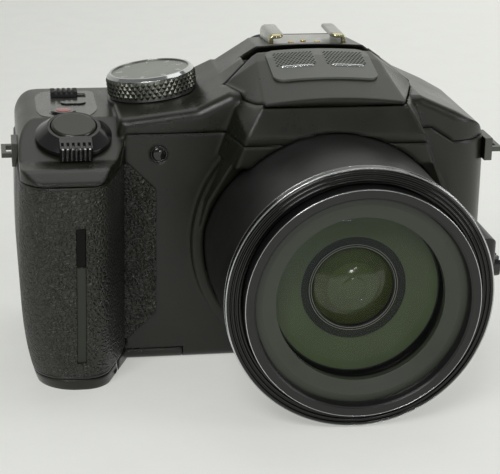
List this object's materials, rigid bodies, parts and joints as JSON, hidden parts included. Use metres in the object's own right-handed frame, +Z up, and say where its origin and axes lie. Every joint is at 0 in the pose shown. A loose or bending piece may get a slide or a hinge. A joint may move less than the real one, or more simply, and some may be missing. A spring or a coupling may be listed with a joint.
{
  "type": "bridge camera",
  "caption": "Bridge camera with a retracting zoom lens, hand grip, pop-up flash, shoe, mode dial, zoom lever and swing-out monitor.",
  "frame": {"origin": "mouth of the tripod socket, on the base plane", "axes": "+X to the right seen from the front, -Y the way the lens looks, +Z up"},
  "size_m": [0.1312, 0.0983, 0.0811],
  "materials": {
    "casing_black": "fine satin grain",
    "grip_rubber": "leather grain",
    "soft_rubber": "smooth matte",
    "barrel_black": "satin",
    "gloss_black": "polished",
    "dial_metal": "black anodised, turned",
    "bright_ring": "dark chrome",
    "cell_metal": "turned",
    "steel": "brushed",
    "sheet_metal": "stamped",
    "brass": "gilt",
    "glass": "coated",
    "window_clear": "ribbed diffuser",
    "lamp_window": "tinted",
    "screen_glass": "mirror gloss",
    "circuit_board": "lacquered",
    "battery_case": "satin",
    "record_red": "polished"
  },
  "bodies": {
    "casing": {"front_cover": "casing_black", "rear_cover": "casing_black", "top_cover": "casing_black", "bottom_cover": "casing_black", "grip_rubber": "grip_rubber", "thumb_rubber": "grip_rubber", "chassis": "sheet_metal", "tripod_bush": "steel", "hot_shoe": "steel", "shoe_contacts": "brass", "af_lamp": "lamp_window", "strap_lugs": "steel", "eyecup": "soft_rubber", "eyepiece_lens": "glass", "main_board": "circuit_board", "sensor_unit": "circuit_board", "battery": "battery_case", "casing_screws": "steel", "lens_barrel": "barrel_black", "barrel_ring": "bright_ring", "zoom_motor": "sheet_metal", "iris_unit": "sheet_metal"},
    "cam": {"cam_barrel": "barrel_black"},
    "zoom_tube": {"zoom_barrel": "barrel_black"},
    "front_group": {"front_barrel": "barrel_black", "name_ring": "barrel_black", "front_lens": "glass"},
    "variator": {"variator_cell": "cell_metal", "variator_lens": "glass"},
    "mode_dial": {"mode_dial": "dial_metal"},
    "zoom_lever": {"zoom_lever": "gloss_black"},
    "shutter_button": {"shutter_button": "dial_metal"},
    "record_button": {"record_button": "record_red"},
    "burst_button": {"burst_button": "gloss_black"},
    "power_switch": {"power_switch": "gloss_black"},
    "flash": {"flash_head": "casing_black", "flash_window": "window_clear", "mic_grille": "gloss_black"},
    "flash_button": {"flash_button": "gloss_black"},
    "monitor": {"monitor_hinge": "gloss_black", "monitor_frame": "gloss_black", "monitor_screen": "screen_glass"},
    "diopter_dial": {"diopter_dial": "gloss_black"},
    "rear_dial": {"rear_dial": "gloss_black"},
    "af_lock_button": {"af_lock_button": "gloss_black"},
    "evf_button": {"evf_button": "gloss_black"},
    "key_up": {"key_up": "gloss_black"},
    "key_down": {"key_down": "gloss_black"},
    "key_left": {"key_left": "gloss_black"},
    "key_right": {"key_right": "gloss_black"},
    "menu_button": {"menu_button": "gloss_black"},
    "disp_button": {"disp_button": "gloss_black"},
    "quick_button": {"quick_button": "gloss_black"},
    "play_button": {"play_button": "gloss_black"},
    "battery_door": {"battery_door": "casing_black"},
    "battery_latch": {"battery_latch": "gloss_black"},
    "terminal_door": {"terminal_door": "casing_black"},
    "side_lever": {"side_lever": "gloss_black"},
    "focus_button": {"focus_button": "gloss_black"},
    "focus_switch": {"focus_switch": "gloss_black"}
  },
  "joints": [
    {"name": "zoom_extend", "type": "slide", "parent": "casing", "child": "zoom_tube", "axis": [0, -1, 0], "range_m": [0, 0.02]},
    {"name": "cam_turn", "type": "hinge", "parent": "casing", "child": "cam", "pos_m": [0.014, -0.017, 0.0328], "axis": [0, 1, 0], "range_deg": [0, 101]},
    {"name": "front_extend", "type": "slide", "parent": "zoom_tube", "child": "front_group", "axis": [0, -1, 0], "range_m": [0, 0.02]},
    {"name": "variator_shift", "type": "slide", "parent": "casing", "child": "variator", "axis": [0, -1, 0], "range_m": [0, 0.008]},
    {"name": "mode_dial_turn", "type": "hinge", "parent": "casing", "child": "mode_dial", "pos_m": [-0.028, 0.007, 0.0669], "axis": [-0.1215, 0, 0.9926], "continuous": true},
    {"name": "zoom_lever_turn", "type": "hinge", "parent": "casing", "child": "zoom_lever", "pos_m": [-0.0503, -0.0161, 0.061], "axis": [0, -0.2941, 0.9558], "range_deg": [-25, 25], "stiffness_Nm_per_rad": 0.02},
    {"name": "shutter_press", "type": "slide", "parent": "casing", "child": "shutter_button", "axis": [0, 0.2941, -0.9558], "range_m": [0, 0.0012], "stiffness_N_per_m": 300},
    {"name": "record_press", "type": "slide", "parent": "casing", "child": "record_button", "axis": [0, 0, -1], "range_m": [0, 0.0005], "stiffness_N_per_m": 300},
    {"name": "burst_press", "type": "slide", "parent": "casing", "child": "burst_button", "axis": [0, 0, -1], "range_m": [0, 0.0005], "stiffness_N_per_m": 300},
    {"name": "power_slide", "type": "slide", "parent": "casing", "child": "power_switch", "axis": [1, 0, 0], "range_m": [0, 0.004]},
    {"name": "flash_pop", "type": "hinge", "parent": "casing", "child": "flash", "pos_m": [0.014, 0.0024, 0.074], "axis": [-1, 0, 0], "range_deg": [0, 50]},
    {"name": "flash_press", "type": "slide", "parent": "casing", "child": "flash_button", "axis": [-0.574, 0, -0.8188], "range_m": [0, 0.0005], "stiffness_N_per_m": 300},
    {"name": "monitor_swing", "type": "hinge", "parent": "casing", "child": "monitor", "pos_m": [0.0555, 0.0207, 0.0295], "axis": [0, 0, -1], "range_deg": [0, 180]},
    {"name": "diopter_turn", "type": "hinge", "parent": "casing", "child": "diopter_dial", "pos_m": [0.0345, 0.0216, 0.067], "axis": [1, 0, 0], "range_deg": [-150, 150]},
    {"name": "rear_dial_turn", "type": "hinge", "parent": "casing", "child": "rear_dial", "pos_m": [-0.047, 0.0196, 0.0573], "axis": [0, 0, 1], "continuous": true},
    {"name": "af_lock_press", "type": "slide", "parent": "casing", "child": "af_lock_button", "axis": [0, -1, 0], "range_m": [0, 0.0005], "stiffness_N_per_m": 300},
    {"name": "evf_press", "type": "slide", "parent": "casing", "child": "evf_button", "axis": [0, -1, 0], "range_m": [0, 0.0005], "stiffness_N_per_m": 300},
    {"name": "up_press", "type": "slide", "parent": "casing", "child": "key_up", "axis": [0, -1, 0], "range_m": [0, 0.0005], "stiffness_N_per_m": 300},
    {"name": "down_press", "type": "slide", "parent": "casing", "child": "key_down", "axis": [0, -1, 0], "range_m": [0, 0.0005], "stiffness_N_per_m": 300},
    {"name": "left_press", "type": "slide", "parent": "casing", "child": "key_left", "axis": [0, -1, 0], "range_m": [0, 0.0005], "stiffness_N_per_m": 300},
    {"name": "right_press", "type": "slide", "parent": "casing", "child": "key_right", "axis": [0, -1, 0], "range_m": [0, 0.0005], "stiffness_N_per_m": 300},
    {"name": "menu_press", "type": "slide", "parent": "casing", "child": "menu_button", "axis": [0, -1, 0], "range_m": [0, 0.0005], "stiffness_N_per_m": 300},
    {"name": "disp_press", "type": "slide", "parent": "casing", "child": "disp_button", "axis": [0, -1, 0], "range_m": [0, 0.0005], "stiffness_N_per_m": 300},
    {"name": "quick_press", "type": "slide", "parent": "casing", "child": "quick_button", "axis": [0, -1, 0], "range_m": [0, 0.0005], "stiffness_N_per_m": 300},
    {"name": "play_press", "type": "slide", "parent": "casing", "child": "play_button", "axis": [0, -1, 0], "range_m": [0, 0.0005], "stiffness_N_per_m": 300},
    {"name": "battery_door_open", "type": "hinge", "parent": "casing", "child": "battery_door", "pos_m": [-0.04125, -0.006, 0.00082], "axis": [0, -1, 0], "range_deg": [0, 95]},
    {"name": "latch_slide", "type": "slide", "parent": "battery_door", "child": "battery_latch", "axis": [1, 0, 0], "range_m": [0, 0.003]},
    {"name": "terminal_door_open", "type": "hinge", "parent": "casing", "child": "terminal_door", "pos_m": [0.05855, -0.0066, 0.031], "axis": [0, 0, -1], "range_deg": [0, 110]},
    {"name": "side_lever_turn", "type": "hinge", "parent": "casing", "child": "side_lever", "pos_m": [0.0514, -0.041, 0.0333], "axis": [1, 0, 0], "range_deg": [-10, 10], "stiffness_Nm_per_rad": 0.01},
    {"name": "focus_press", "type": "slide", "parent": "casing", "child": "focus_button", "axis": [-1, 0, 0], "range_m": [0, 0.0005], "stiffness_N_per_m": 300},
    {"name": "focus_switch_slide", "type": "slide", "parent": "casing", "child": "focus_switch", "axis": [0, 0, 1], "range_m": [0, 0.003]}
  ],
  "couplings": [
    {"joint": "cam_turn", "follows": "zoom_extend", "rad_per_m": 87.266},
    {"joint": "front_extend", "follows": "zoom_extend", "ratio": 1},
    {"joint": "variator_shift", "follows": "zoom_extend", "ratio": 0.4}
  ]
}
